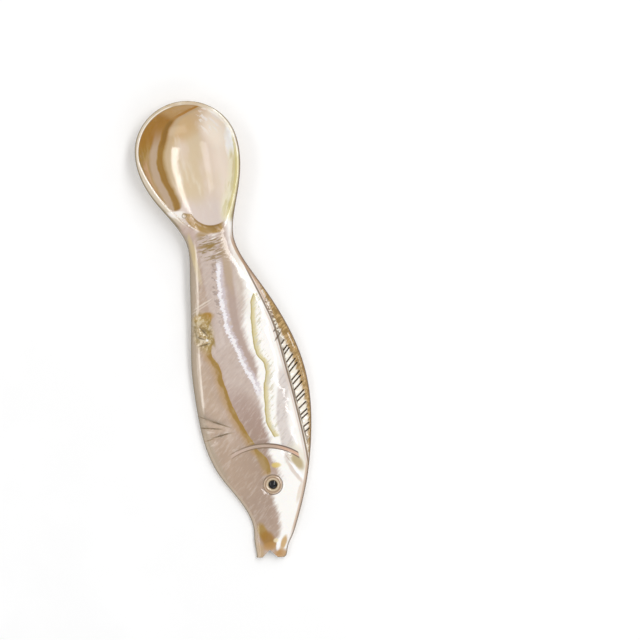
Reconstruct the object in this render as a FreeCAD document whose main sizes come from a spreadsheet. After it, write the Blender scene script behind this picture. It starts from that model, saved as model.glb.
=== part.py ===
import FreeCAD, Part
import math
import os
import Sketcher
from FreeCAD import Placement, Rotation, Vector

# Caviar spoon carved in the shape of a fish from one piece of pearl shell, with a black bead in its eye.
# Millimetres, lying as it rests: +Y runs along the spoon to the tip of the bowl, +Z is up and the hollow
# faces up. X = 0 is the long axis of the fish until the finished spoon is centred, and the underside is
# lapped flat where it touches the table at Z = 0.

# Driving dimensions, each with its meaning
SIZES = (
    ("bowl_nose", 12.6, "from the widest section of the bowl to its tip"),
    ("bowl_rim", 0.95, "land left between the hollow and the outer edge"),
    ("hollow_flare", 57, "degrees of arc of the hollow to each side"),
    ("bowl_floor", 1.5, "shell left under the deepest point of the hollow"),
    ("heel_land", 1.1, "from the neck section to the end of the hollow"),
    ("heel_shift", 1.8, "sideways from the middle of the bowl to the heel of the hollow"),
    ("lapped", 0.12, "ground off the underside so that it lies flat"),
    ("snout_slant", 7.0, "degrees by which the end of the snout is cut askew"),
    ("mouth_depth", 1.9, "depth of the notch between the lips"),
    ("mouth_upper", 1.5, "notch width on the side of the upper lip"),
    ("mouth_lower", 2.6, "notch width on the side of the lower lip"),
    ("mouth_side", 0.3, "from the long axis to the corner of the mouth"),
    ("tool_reach", 5.0, "how far a cutting tool goes past the spoon"),
    ("strip_start", 7.0, "from the neck section to the root of the fin strip"),
    ("strip_length", 53.0, "length of the fin strip"),
    ("strip_height", 0.75, "face of the fin strip above the edge line of the body"),
    ("strip_bevel", 0.35, "slope of the step beside the fin strip"),
    ("slash_count", 16, "strokes across the fin strip"),
    ("slash_pitch", 1.5, "from one stroke to the next along the back"),
    ("slash_first", 21.5, "from the root of the fin strip to the first stroke"),
    ("slash_gap", 0.6, "from the dorsal line to the inner end of a stroke"),
    ("slash_width", 0.38, "width of a stroke"),
    ("slash_depth", 0.3, "depth of a stroke"),
    ("slash_turn_first", 46.0, "degrees from the X axis to the first stroke"),
    ("slash_turn_last", 30.0, "degrees from the X axis to the last stroke"),
    ("fin_cut_width", 0.32, "width of a fin line"),
    ("fin_cut_depth", 0.3, "depth of a fin line in its middle"),
    ("gill_radius", 15.0, "radius of the gill line"),
    ("gill_scoop", 0.6, "radius of the gouge that cuts the gill line"),
    ("gill_depth", 0.42, "depth of the gill line at its deepest place"),
    ("gill_from", 46.0, "degrees round its centre to the end of the gill line beside the back"),
    ("gill_sweep", 70.0, "degrees along the gill line"),
    ("gill_tilt", 3.5, "degrees by which the gill line runs out at its ends"),
    ("gill_back", 9.9, "from the gill section back to the centre of the gill line"),
    ("gill_side", 1.45, "from the long axis to the centre of the gill line"),
    ("eye_back", 4.9, "from the gill section back to the middle of the eye"),
    ("eye_side", 4.0, "from the long axis to the middle of the eye"),
    ("eye_ring", 4.8, "diameter of the line round the eye"),
    ("eye_ring_cut", 0.28, "width of the line round the eye"),
    ("pupil_dish", 2.8, "diameter of the dish round the pupil"),
    ("dish_depth", 0.35, "depth of the dish round the pupil"),
    ("pupil_width", 2.0, "diameter of the bead"),
    ("pupil_seat", 0.8, "depth of the drilled seat under the dish"),
    ("pupil_rise", 0.25, "height of the bead's dome"),
)

# Sections of the carved body from the snout to the widest part of the bowl.
# run: from the section before; left and right: from the long axis to the edge; lift: underside above the
# table; hull: underside up to the edge line; dome: edge line up to the top; bevel: width of the bevelled
# upper edge; under_bevel: width of the bevel under the edge line; under_rise: its height; flare: degrees of
# arc of the underside to each side; strip: width of the fin strip along the back
SECTION_SIZES = ("run", "left", "right", "lift", "hull", "dome", "bevel", "under_bevel", "under_rise",
                 "flare", "strip")
SECTIONS = (
    ("snout", 1.0, 3.2, 4.55, 0.30, 0.8, 0.9, 0.7, 0.5, 0.5, 25, 0),
    ("chin", 3.2, 3.1, 6.35, 0.15, 0.95, 1.05, 0.8, 0.6, 0.6, 25, 0),
    ("lip", 3.4, 2.7, 8.25, 0.05, 1.05, 1.15, 0.9, 0.6, 0.7, 25, 0),
    ("cheek", 7.5, 4.8, 11.65, 0.02, 1.2, 1.3, 1.1, 0.6, 0.8, 25, 0),
    ("gill", 7.5, 8.8, 14.2, 0.10, 1.3, 1.45, 1.3, 0.7, 0.85, 25, 0.4),
    ("shoulder", 7.5, 10.8, 16.0, 0.30, 1.35, 1.55, 1.4, 0.7, 0.85, 25, 2.3),
    ("back", 10.0, 11.2, 17.2, 0.70, 1.35, 1.6, 1.4, 0.7, 0.85, 25, 4.2),
    ("flank", 10.0, 10.6, 16.3, 1.25, 1.35, 1.6, 1.4, 0.7, 0.85, 25, 4.2),
    ("belly", 7.5, 9.3, 14.2, 1.80, 1.35, 1.6, 1.4, 0.7, 0.85, 25, 2.95),
    ("root", 7.5, 8.0, 11.2, 2.40, 1.4, 1.6, 1.4, 0.7, 0.85, 28, 1.75),
    ("tail", 7.5, 6.8, 7.65, 3.00, 1.5, 1.55, 1.4, 0.7, 0.9, 34, 0.5),
    ("neck", 7.5, 6.2, 5.6, 3.10, 2.0, 1.5, 1.4, 0.7, 1.0, 40, 0),
    ("throat", 5.0, 8.1, 6.6, 1.95, 3.9, 1.1, 1.1, 0.8, 1.3, 50, 0),
    ("heel", 7.5, 12.4, 9.3, 0.45, 5.9, 0.7, 0.6, 0.7, 1.1, 55, 0),
    ("widest", 10.0, 14.9, 10.9, 0.02, 6.6, 0.6, 0.5, 0.6, 1.0, 56, 0),
)

# Lines of the two fins on the belly side, each from its root to its end near the tip of the fin.
# inward: from the belly edge; along: from the section that the fin is measured from
FIN_SIZES = ("root_inward", "root_along", "end_inward", "end_along")
FIN_LINES = (
    ("pelvic_first", "belly", 2.0, 1.9, 4.6, -1.2),
    ("pelvic_second", "belly", 0.9, -0.3, 3.8, -1.6),
    ("pelvic_third", "belly", 1.2, -3.0, 4.9, -2.6),
    ("pectoral_first", "shoulder", 0.6, 7.1, 7.6, 3.3),
    ("pectoral_second", "shoulder", 0.4, 4.6, 5.1, 3.4),
    ("pectoral_third", "shoulder", 0.6, 1.5, 7.1, 2.1),
)

# Shape factors, which are plain numbers and no lengths
SIDE_SHARE = 0.32
SHOULDER_SHARE = 0.74
SIDE_LEAN = 0.2
FACE_POINTS = 7
NOSE_TURNS = (20, 40, 58, 74, 90)
SNOUT_TURNS = (90, 50, 20)
SNOUT_THINNING = 0.35
HEEL_SPREAD = 1.6
HEEL_POINT = 1.5
HEEL_STEPS = (0.0, 0.25, 0.48, 0.68, 0.84, 0.95, 1.0)
STRIP_STEPS = 16
GILL_DEEPEST = 0.4
STROKE_REACH = 0.7
STROKE_FIRST = 0.45
STROKE_GROWTH = 0.12
HAND_SWAY = 0.22
HAND_RHYTHM = 2.3

doc = FreeCAD.newDocument("caviar_spoon")
sheet = doc.addObject("Spreadsheet::Sheet", "sizes")


# Put one named value into the next row of the sheet
def add_size(row, alias, value, note):
    sheet.set("A%d" % row, note)
    sheet.set("B%d" % row, str(value))
    sheet.setAlias("B%d" % row, alias)


def fill_sheet():
    row = 1
    for alias, value, note in SIZES:
        add_size(row, alias, value, note)
        row += 1
    for name, *values in SECTIONS:
        for kind, value in zip(SECTION_SIZES, values):
            add_size(row, name + "_" + kind, value, kind + " of the section at the " + name)
            row += 1
    for name, section, *values in FIN_LINES:
        for kind, value in zip(FIN_SIZES, values):
            add_size(row, name + "_" + kind, value, kind + " of the line " + name)
            row += 1
    doc.recompute()


# Read one named value from the sheet
def size(alias):
    return float(sheet.get(alias))


fill_sheet()
section_names = [section[0] for section in SECTIONS]
total_length = sum(size(name + "_run") for name in section_names) + size("bowl_nose")


# Place along the spoon of each section, with the middle of the length at Y = 0
def section_places():
    place = -total_length / 2
    places = {}
    for name in section_names:
        place += size(name + "_run")
        places[name] = place
    return places


place_of = section_places()


# Smooth line through one value of every section, as a function of Y
def smooth_line(value_of):
    points = [Vector(place_of[name], value_of(name), 0) for name in section_names]
    curve = Part.BSplineCurve()
    curve.interpolate(Points=points, Parameters=[point.x for point in points])
    return lambda y: curve.value(y).y


left_edge = smooth_line(lambda name: -size(name + "_left"))
right_edge = smooth_line(lambda name: size(name + "_right"))
edge_height = smooth_line(lambda name: size(name + "_lift") + size(name + "_hull"))
dome_height = smooth_line(lambda name: size(name + "_dome"))
bevel_width = smooth_line(lambda name: size(name + "_bevel"))
strip_width = smooth_line(lambda name: size(name + "_strip"))


# Height of the body's upper face at a point of the plan, inside its bevelled edge
def top_height(x, y):
    middle = (left_edge(y) + right_edge(y)) / 2
    flat_half = (right_edge(y) - left_edge(y)) / 2 - bevel_width(y)
    share = min(abs(x - middle) / flat_half, 1)
    return edge_height(y) + dome_height(y) * (SHOULDER_SHARE + (1 - SHOULDER_SHARE) * (1 - share ** 2))


# Depth of a round-bottomed form as a share of its deepest, from 1 in the middle to 0 at its rim.
# off_centre is the squared distance from the middle as a share of the rim's, flare half the arc in degrees
def bowl_share(off_centre, flare):
    turn = math.radians(flare)
    level = math.sqrt(1 - math.sin(turn) ** 2 * min(off_centre, 1))
    return (level - math.cos(turn)) / (1 - math.cos(turn))


# Even steps along an arc of that flare, as shares of its half width from -1 to 1
def arc_steps(flare):
    turn = math.radians(flare)
    evens = [2 * index / (FACE_POINTS - 1) - 1 for index in range(FACE_POINTS)]
    return [math.sin(turn * even) / math.sin(turn) for even in evens]


# One section across the spoon as rows of points that meet at their ends: the steep side and the bevel on
# the right, the domed top from right to left, the bevel and the side on the left, the bevel under the left
# edge, the underside and the bevel under the right edge. narrow is below 1 on the round nose of the bowl
def section_rows(name, y, narrow=1.0):
    left = -size(name + "_left")
    right = size(name + "_right")
    edge = size(name + "_lift") + size(name + "_hull")
    dome = size(name + "_dome") * math.sqrt(narrow)
    bevel = size(name + "_bevel") * narrow
    flare = size(name + "_flare")
    middle = (left + right) / 2
    half_width = (right - left) / 2 * narrow
    flat_half = half_width - bevel
    side_half = half_width - bevel * SIDE_LEAN
    under_half = half_width - size(name + "_under_bevel") * narrow
    nose_depth = bowl_share(1 - narrow ** 2, flare)
    under_rise = size(name + "_under_rise") * nose_depth
    under_depth = size(name + "_hull") * nose_depth - under_rise
    top = []
    for index in range(FACE_POINTS):
        across = 1 - 2 * index / (FACE_POINTS - 1)
        height = SHOULDER_SHARE + (1 - SHOULDER_SHARE) * (1 - across ** 2)
        top.append(Vector(middle + flat_half * across, y, edge + dome * height))
    under = []
    for across in arc_steps(flare):
        depth = bowl_share(1 - narrow ** 2 * (1 - across ** 2), flare) / nose_depth
        under.append(Vector(middle + under_half * across, y, edge - under_rise - under_depth * depth))
    right_edge_point = Vector(middle + half_width, y, edge)
    left_edge_point = Vector(middle - half_width, y, edge)
    right_side = Vector(middle + side_half, y, edge + dome * SIDE_SHARE)
    left_side = Vector(middle - side_half, y, edge + dome * SIDE_SHARE)
    return [[right_edge_point, right_side], [right_side, top[0]], top, [top[-1], left_side],
            [left_side, left_edge_point], [left_edge_point, under[0]], under, [under[-1], right_edge_point]]


# Smooth curve through points at even steps, or a straight line through two
def row_curve(points):
    curve = Part.BSplineCurve()
    if len(points) == 2:
        curve.buildFromPolesMultsKnots(points, [2, 2], [0, 1], False, 1)
    else:
        steps = [index / (len(points) - 1) for index in range(len(points))]
        curve.interpolate(Points=points, Parameters=steps)
    return curve


def is_tip(points):
    return max((point - points[0]).Length for point in points) < 1e-6


# Smooth surface through rows of points, where a row whose points coincide is its tip, as faces that part
# at the given sections so that each stays simple
def patch_faces(rows, steps, seams):
    pattern = row_curve([row for row in rows if not is_tip(row)][0])
    across = [[row[0]] * pattern.NbPoles if is_tip(row) else row_curve(row).getPoles() for row in rows]
    along = []
    for column in zip(*across):
        curve = Part.BSplineCurve()
        curve.interpolate(Points=list(column), Parameters=steps)
        along.append(curve)
    net = [list(row) for row in zip(*[curve.getPoles() for curve in along])]
    surface = Part.BSplineSurface()
    surface.buildFromPolesMultsKnots(net, along[0].getMultiplicities(), pattern.getMultiplicities(),
                                     along[0].getKnots(), pattern.getKnots(), False, False, 3, pattern.Degree)
    faces = []
    for start, end in zip(seams, seams[1:]):
        stretch = surface.copy()
        stretch.segment(steps[start], steps[end], 0, 1)
        faces.append(stretch.toShape())
    return faces


# Closed solid whose skin runs through sections of several rows, with a flat end where a section isn't a tip
def skin_solid(sections, seams):
    steps = [0.0]
    for here, beyond in zip(sections, sections[1:]):
        points = sum(here, [])
        next_points = sum(beyond, [])
        steps.append(steps[-1] + sum((q - p).Length for p, q in zip(points, next_points)) / len(points))
    faces = []
    for index in range(len(sections[0])):
        faces += patch_faces([section[index] for section in sections], steps, seams)
    for section in (sections[0], sections[-1]):
        if not is_tip(sum(section, [])):
            faces.append(Part.Face(Part.Wire([row_curve(row).toShape() for row in section])))
    shell = Part.makeShell(faces)
    shell.sewShape()
    solid = Part.makeSolid(shell)
    if not solid.isValid():
        solid.fix(1e-6, 1e-6, 1e-4)
    if solid.Volume < 0:
        solid.reverse()
    return solid


# Blank of the spoon: snout, fish body, neck and the outside of the bowl as one carved form
def carve_blank():
    snout = section_rows("snout", place_of["snout"])
    centre = (snout[0][0] + snout[5][0]) * 0.5
    chin_centre = (size("chin_right") - size("chin_left")) / 2
    drift = (centre.x - chin_centre) / size("chin_run")
    askew = math.tan(math.radians(size("snout_slant")))
    sections = []
    for turn in SNOUT_TURNS:
        forward = math.sin(math.radians(turn))
        aside = drift * forward * size("snout_run")
        inset = size("snout_bevel") * (1 - math.cos(math.radians(turn)))
        narrow = 1 - inset / ((size("snout_left") + size("snout_right")) / 2)
        thin = 1 - SNOUT_THINNING * inset / size("snout_bevel")
        rows = []
        for row in snout:
            offsets = [point - centre for point in row]
            rows.append([centre + Vector(aside + offset.x * narrow,
                                         -forward * (size("snout_run") + offset.x * askew),
                                         offset.z * thin) for offset in offsets])
        sections.append(rows)
    sections += [section_rows(name, place_of[name]) for name in section_names]
    for turn in NOSE_TURNS[:-1]:
        forward = size("bowl_nose") * math.sin(math.radians(turn))
        sections.append(section_rows("widest", place_of["widest"] + forward, math.cos(math.radians(turn))))
    tip = Vector((size("widest_right") - size("widest_left")) / 2, place_of["widest"] + size("bowl_nose"),
                 size("widest_lift") + size("widest_hull"))
    sections.append([[tip] * len(row) for row in sections[0]])
    blank = doc.addObject("Part::Feature", "blank")
    neck = len(SNOUT_TURNS) + section_names.index("neck")
    blank.Shape = skin_solid(sections, [0] + list(range(neck, len(sections))))
    return blank


# Section of the hollowing scoop: a round-bottomed form under a domed lid that stays clear of the spoon
def scoop_rows(y, middle, half_width, edge, depth, narrow):
    flare = size("hollow_flare")
    bottom = []
    for across in arc_steps(flare):
        share = bowl_share(1 - narrow ** 2 * (1 - across ** 2), flare)
        bottom.append(Vector(middle + half_width * narrow * across, y, edge - depth * share))
    lid = []
    for index in range(FACE_POINTS):
        across = 1 - 2 * index / (FACE_POINTS - 1)
        rise = depth * narrow * (1 - across ** 2)
        lid.append(Vector(middle + half_width * narrow * across, y, edge + rise))
    return [bottom, lid]


# Scoop that hollows the bowl: egg-shaped in plan, pointed towards the neck, deepest at the widest section
def hollow_scoop():
    left = -size("widest_left") + size("bowl_rim")
    right = size("widest_right") - size("bowl_rim")
    edge = size("widest_lift") + size("widest_hull") + size("widest_dome")
    depth = edge - size("widest_lift") - size("bowl_floor")
    middle = (left + right) / 2
    half_width = (right - left) / 2
    widest = place_of["widest"]
    back = widest - place_of["neck"] - size("heel_land")
    heel_edge = edge_height(widest - back) + dome_height(widest - back)
    sections = []
    for step in reversed(HEEL_STEPS[:-1]):
        narrow = (1 - step ** HEEL_SPREAD) ** (1 / HEEL_POINT)
        sections.append(scoop_rows(widest - back * step, middle + size("heel_shift") * step, half_width,
                                   edge + (heel_edge - edge) * step ** 2, depth, narrow))
    heel = Vector(middle + size("heel_shift"), widest - back, heel_edge)
    sections.insert(0, [[heel] * len(row) for row in sections[0]])
    front = size("bowl_nose") - size("bowl_rim")
    for turn in NOSE_TURNS[:-1]:
        forward = front * math.sin(math.radians(turn))
        narrow = math.cos(math.radians(turn))
        sections.append(scoop_rows(widest + forward, middle, half_width, edge, depth, narrow))
    tip = Vector(middle, widest + front, edge)
    sections.append([[tip] * len(row) for row in sections[0]])
    scoop = doc.addObject("Part::Feature", "hollow_scoop")
    scoop.Shape = skin_solid(sections, list(range(len(sections))))
    return scoop


# Point of the dorsal line, at the height of the strip's face
def dorsal_point(y):
    return Vector(right_edge(y) - strip_width(y), y, edge_height(y) + size("strip_height"))


# Step along the back: everything outside the dorsal line is lowered to the face of the fin strip
def strip_cutter():
    start = place_of["neck"] - size("strip_start")
    reach = size("tool_reach")
    sections = []
    for index in range(STRIP_STEPS + 1):
        y = start - size("strip_length") * index / STRIP_STEPS
        line = dorsal_point(y)
        outside = right_edge(y) + reach
        foot = line.x + size("strip_bevel")
        head = foot - size("strip_bevel") * reach
        corners = [Vector(foot, y, line.z), Vector(outside, y, line.z),
                   Vector(outside, y, line.z + reach), Vector(head, y, line.z + reach)]
        sections.append(Part.makePolygon(corners + corners[:1]))
    cutter = doc.addObject("Part::Feature", "strip_cutter")
    cutter.Shape = Part.makeLoft(sections, True, False)
    return cutter


# Stroke of a thin wheel that leaves a line with tapered ends
def wheel_cut(name, start, end, surface, width_cell, depth_cell):
    run = end - start
    chord = math.hypot(run.x, run.y)
    depth = size(depth_cell)
    radius = chord ** 2 / (8 * depth) + depth / 2
    heading = math.degrees(math.atan2(run.y, run.x))
    wheel = doc.addObject("Part::Cylinder", name)
    wheel.Radius = radius
    wheel.setExpression("Height", "sizes." + width_cell)
    turn = Rotation(Vector(0, 0, 1), heading).multiply(Rotation(Vector(1, 0, 0), 90))
    side = turn.multVec(Vector(0, 0, 1)) * (size(width_cell) / 2)
    middle = (start + end) * 0.5
    wheel.Placement = Placement(Vector(middle.x, middle.y, surface + radius - depth) - side, turn)
    return wheel


# Strokes cut by hand across the fin strip, from beside the dorsal line outwards
def fin_slashes():
    slots = []
    count = max(int(round(size("slash_count"))), 1)
    root = place_of["neck"] - size("strip_start")
    for index in range(count):
        share = index / max(count - 1, 1)
        sway = HAND_SWAY * math.sin(HAND_RHYTHM * index)
        begin = dorsal_point(root - size("slash_first") - size("slash_pitch") * (index + sway))
        growing = min(STROKE_FIRST + STROKE_GROWTH * index, 1)
        turn = size("slash_turn_first") * (1 - share) + size("slash_turn_last") * share
        slot = doc.addObject("Part::Box", "slash_%02d" % (index + 1))
        slot.Length = STROKE_REACH * growing * strip_width(begin.y)
        slot.setExpression("Width", "sizes.slash_width")
        slot.setExpression("Height", "sizes.slash_depth + sizes.strip_height")
        corner = begin + Vector(size("slash_gap"), 0, -size("slash_depth"))
        slot.Placement = Placement(corner, Rotation(Vector(0, 0, 1), turn))
        slots.append(slot)
    return slots


# Lines of the two fins, each cut by one stroke of the wheel
def fin_lines():
    wheels = []
    for name, section, *values in FIN_LINES:
        ends = []
        for end in ("root", "end"):
            y = place_of[section] + size("%s_%s_along" % (name, end))
            ends.append(Vector(left_edge(y) + size("%s_%s_inward" % (name, end)), y, 0))
        middle = (ends[0] + ends[1]) * 0.5
        wheels.append(wheel_cut(name, ends[0], ends[1], top_height(middle.x, middle.y),
                                "fin_cut_width", "fin_cut_depth"))
    return wheels


# Curved gouge line of the gill, deepest in its middle and running out at both ends
def gill_gouge():
    centre = Vector(size("gill_side"), place_of["gill"] - size("gill_back"), 0)
    middle = size("gill_from") + size("gill_sweep") * GILL_DEEPEST
    towards = Rotation(Vector(0, 0, 1), middle).multVec(Vector(1, 0, 0))
    deepest = centre + towards * size("gill_radius")
    tilt = Rotation(Vector(-towards.y, towards.x, 0), size("gill_tilt"))
    height = top_height(deepest.x, deepest.y) + size("gill_scoop") - size("gill_depth")
    rise = size("gill_radius") * math.sin(math.radians(size("gill_tilt")))
    gouge = doc.addObject("Part::Torus", "gill_gouge")
    gouge.setExpression("Radius1", "sizes.gill_radius")
    gouge.setExpression("Radius2", "sizes.gill_scoop")
    gouge.setExpression("Angle3", "sizes.gill_sweep")
    turn = tilt.multiply(Rotation(Vector(0, 0, 1), size("gill_from")))
    gouge.Placement = Placement(Vector(centre.x, centre.y, height + rise), turn)
    return gouge


def eye_middle():
    y = place_of["gill"] - size("eye_back")
    return Vector(size("eye_side"), y, top_height(size("eye_side"), y))


# Line round the eye as a ring with a pointed bottom, drawn upright and turned round the eye's middle
def eye_ring_cutter():
    half = size("eye_ring_cut") / 2
    radius = size("eye_ring") / 2
    corners = [Vector(radius, -half, 0), Vector(radius + 2 * half, half, 0)]
    corners.append(Vector(radius - 2 * half, half, 0))
    profile = doc.addObject("Sketcher::SketchObject", "eye_ring_profile")
    for begin, end in zip(corners, corners[1:] + corners[:1]):
        profile.addGeometry(Part.LineSegment(begin, end), False)
    for first, second in ((0, 1), (1, 2), (2, 0)):
        profile.addConstraint(Sketcher.Constraint("Coincident", first, 2, second, 1))
    profile.addConstraint(Sketcher.Constraint("Horizontal", 1))
    across_rule = profile.addConstraint(Sketcher.Constraint("DistanceX", -1, 1, 0, 1, radius))
    bottom_rule = profile.addConstraint(Sketcher.Constraint("DistanceY", 0, 1, -1, 1, half))
    width_rule = profile.addConstraint(Sketcher.Constraint("DistanceX", 1, 2, 1, 1, 4 * half))
    height_rule = profile.addConstraint(Sketcher.Constraint("DistanceY", 0, 1, 0, 2, 2 * half))
    middle_rule = profile.addConstraint(Sketcher.Constraint("DistanceX", 0, 1, 0, 2, 2 * half))
    profile.setExpression("Constraints[%d]" % across_rule, "sizes.eye_ring / 2")
    profile.setExpression("Constraints[%d]" % bottom_rule, "sizes.eye_ring_cut / 2")
    profile.setExpression("Constraints[%d]" % width_rule, "2 * sizes.eye_ring_cut")
    profile.setExpression("Constraints[%d]" % height_rule, "sizes.eye_ring_cut")
    profile.setExpression("Constraints[%d]" % middle_rule, "sizes.eye_ring_cut")
    profile.Placement = Placement(Vector(), Rotation(Vector(1, 0, 0), 90))
    ring = doc.addObject("Part::Revolution", "eye_ring")
    ring.Source = profile
    ring.Axis = Vector(0, 0, 1)
    ring.Angle = 360
    ring.Solid = True
    ring.Placement = Placement(eye_middle(), Rotation())
    return ring


# Dish round the pupil and the drilled seat of the bead
def pupil_cutters():
    middle = eye_middle()
    dish = doc.addObject("Part::Cone", "pupil_dish")
    dish.setExpression("Radius1", "sizes.pupil_width / 2")
    dish.setExpression("Radius2", "sizes.pupil_width / 2 + (sizes.pupil_dish - sizes.pupil_width)")
    dish.setExpression("Height", "2 * sizes.dish_depth")
    dish.Placement = Placement(middle - Vector(0, 0, size("dish_depth")), Rotation())
    seat = doc.addObject("Part::Cylinder", "pupil_seat_bore")
    seat.setExpression("Radius", "sizes.pupil_width / 2")
    seat.setExpression("Height", "sizes.pupil_seat + sizes.dish_depth")
    seat.Placement = Placement(middle - Vector(0, 0, size("dish_depth") + size("pupil_seat")), Rotation())
    return [dish, seat]


# Notch between the lips, drawn in plan with its flanks run on past the snout, and cut straight down
def mouth_notch():
    plan = doc.addObject("Sketcher::SketchObject", "mouth_plan")
    corner = Vector(size("mouth_side"), size("mouth_depth") - total_length / 2, 0)
    run_on = 1 + size("tool_reach") / size("mouth_depth")
    upper = corner + Vector(size("mouth_upper"), -size("mouth_depth"), 0) * run_on
    lower = corner + Vector(-size("mouth_lower"), -size("mouth_depth"), 0) * run_on
    for begin, end in ((corner, upper), (upper, lower), (lower, corner)):
        plan.addGeometry(Part.LineSegment(begin, end), False)
    for first, second in ((0, 1), (1, 2), (2, 0)):
        plan.addConstraint(Sketcher.Constraint("Coincident", first, 2, second, 1))
    plan.addConstraint(Sketcher.Constraint("Horizontal", 1))
    notch = doc.addObject("Part::Extrusion", "mouth_notch")
    notch.Base = plan
    notch.DirMode = "Custom"
    notch.Dir = Vector(0, 0, 1)
    notch.setExpression("LengthFwd", "2 * sizes.tool_reach")
    notch.setExpression("LengthRev", "sizes.tool_reach")
    notch.Solid = True
    return notch


# Lapping plate: whatever lies under the table's surface is ground away
def lapping_plate():
    reach = size("tool_reach")
    plate = doc.addObject("Part::Box", "lapping_plate")
    plate.Length = size("widest_left") + size("back_right") + 2 * reach
    plate.Width = total_length + 2 * reach
    plate.setExpression("Height", "sizes.tool_reach")
    corner = Vector(-size("widest_left") - reach, -total_length / 2 - reach, size("lapped") - reach)
    plate.Placement = Placement(corner, Rotation())
    return plate


def make_spoon():
    work = carve_blank()
    strokes = doc.addObject("Part::MultiFuse", "strokes")
    strokes.Shapes = fin_slashes()
    tools = [hollow_scoop(), strip_cutter(), gill_gouge(), mouth_notch(), lapping_plate(), strokes]
    tools += [eye_ring_cutter()] + pupil_cutters() + fin_lines()
    for tool in tools:
        cut = doc.addObject("Part::Cut", "cut_" + tool.Name)
        cut.Base = work
        cut.Tool = tool
        work = cut
    doc.recompute()
    work.Label = "spoon"
    return work


# Black bead that sits in the seat with a low dome
def make_pupil():
    body = doc.addObject("PartDesign::Body", "eye_bead")
    body.Label = "eye_pupil"
    half = body.newObject("Sketcher::SketchObject", "bead_half")
    plane = [item for item in body.Origin.OriginFeatures if item.Role == "XZ_Plane"][0]
    half.AttachmentSupport = [(plane, "")]
    half.MapMode = "FlatFace"
    radius = size("pupil_width") / 2
    height = size("pupil_seat")
    rise = size("pupil_rise")
    bend = (radius ** 2 + rise ** 2) / (2 * rise)
    arc_middle = Vector(0, height + rise - bend, 0)
    begin = math.asin(radius / bend)
    ball = Part.Circle(arc_middle, Vector(0, 0, 1), bend)
    dome = Part.ArcOfCircle(ball, math.pi / 2 - begin, math.pi / 2)
    half.addGeometry(Part.LineSegment(Vector(0, 0, 0), Vector(radius, 0, 0)), False)
    half.addGeometry(Part.LineSegment(Vector(radius, 0, 0), Vector(radius, height, 0)), False)
    half.addGeometry(dome, False)
    half.addGeometry(Part.LineSegment(Vector(0, height + rise, 0), Vector(0, 0, 0)), False)
    half.addConstraint(Sketcher.Constraint("Coincident", 0, 1, -1, 1))
    half.addConstraint(Sketcher.Constraint("Coincident", 0, 2, 1, 1))
    half.addConstraint(Sketcher.Constraint("Coincident", 1, 2, 2, 1))
    half.addConstraint(Sketcher.Constraint("Coincident", 2, 2, 3, 1))
    half.addConstraint(Sketcher.Constraint("Coincident", 3, 2, 0, 1))
    half.addConstraint(Sketcher.Constraint("Horizontal", 0))
    half.addConstraint(Sketcher.Constraint("Vertical", 1))
    half.addConstraint(Sketcher.Constraint("Vertical", 3))
    half.addConstraint(Sketcher.Constraint("PointOnObject", 2, 3, -2))
    width_rule = half.addConstraint(Sketcher.Constraint("DistanceX", 0, 1, 0, 2, radius))
    height_rule = half.addConstraint(Sketcher.Constraint("DistanceY", 1, 1, 1, 2, height))
    top_rule = half.addConstraint(Sketcher.Constraint("DistanceY", 3, 2, 3, 1, height + rise))
    half.setExpression("Constraints[%d]" % width_rule, "sizes.pupil_width / 2")
    half.setExpression("Constraints[%d]" % height_rule, "sizes.pupil_seat")
    half.setExpression("Constraints[%d]" % top_rule, "sizes.pupil_seat + sizes.pupil_rise")
    bead = body.newObject("PartDesign::Revolution", "bead")
    bead.Profile = half
    bead.ReferenceAxis = (half, ["V_Axis"])
    bead.Angle = 360
    middle = eye_middle()
    body.Placement = Placement(middle - Vector(0, 0, size("dish_depth") + size("pupil_seat")), Rotation())
    return body


spoon = make_spoon()
pupil = make_pupil()
doc.recompute()

# The lapped underside becomes Z = 0, and the middle of the outline X = 0 and Y = 0
outline = spoon.Shape.optimalBoundingBox()
to_rest = Vector(-(outline.XMin + outline.XMax) / 2, -(outline.YMin + outline.YMax) / 2, -size("lapped"))
parts = {}
for item in (spoon, pupil):
    item.Placement = Placement(to_rest, Rotation()).multiply(item.Placement)
    parts[item.Label] = item

for item in doc.Objects:
    if "Invalid" in item.State or "Error" in item.State:
        raise RuntimeError(item.Name + " did not build")

os.makedirs("parts", exist_ok=True)
for name, item in parts.items():
    shape = item.Shape
    if shape.isNull() or not shape.isValid():
        raise RuntimeError(name + " has no valid shape")
    shape.exportStep("parts/" + name + ".step")
    print(name, len(shape.Solids), round(shape.Volume, 2), shape.optimalBoundingBox())
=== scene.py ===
import math

import bmesh
import bpy
from bpy.props import FloatProperty, FloatVectorProperty, PointerProperty
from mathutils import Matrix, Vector
from mathutils.bvhtree import BVHTree


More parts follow.
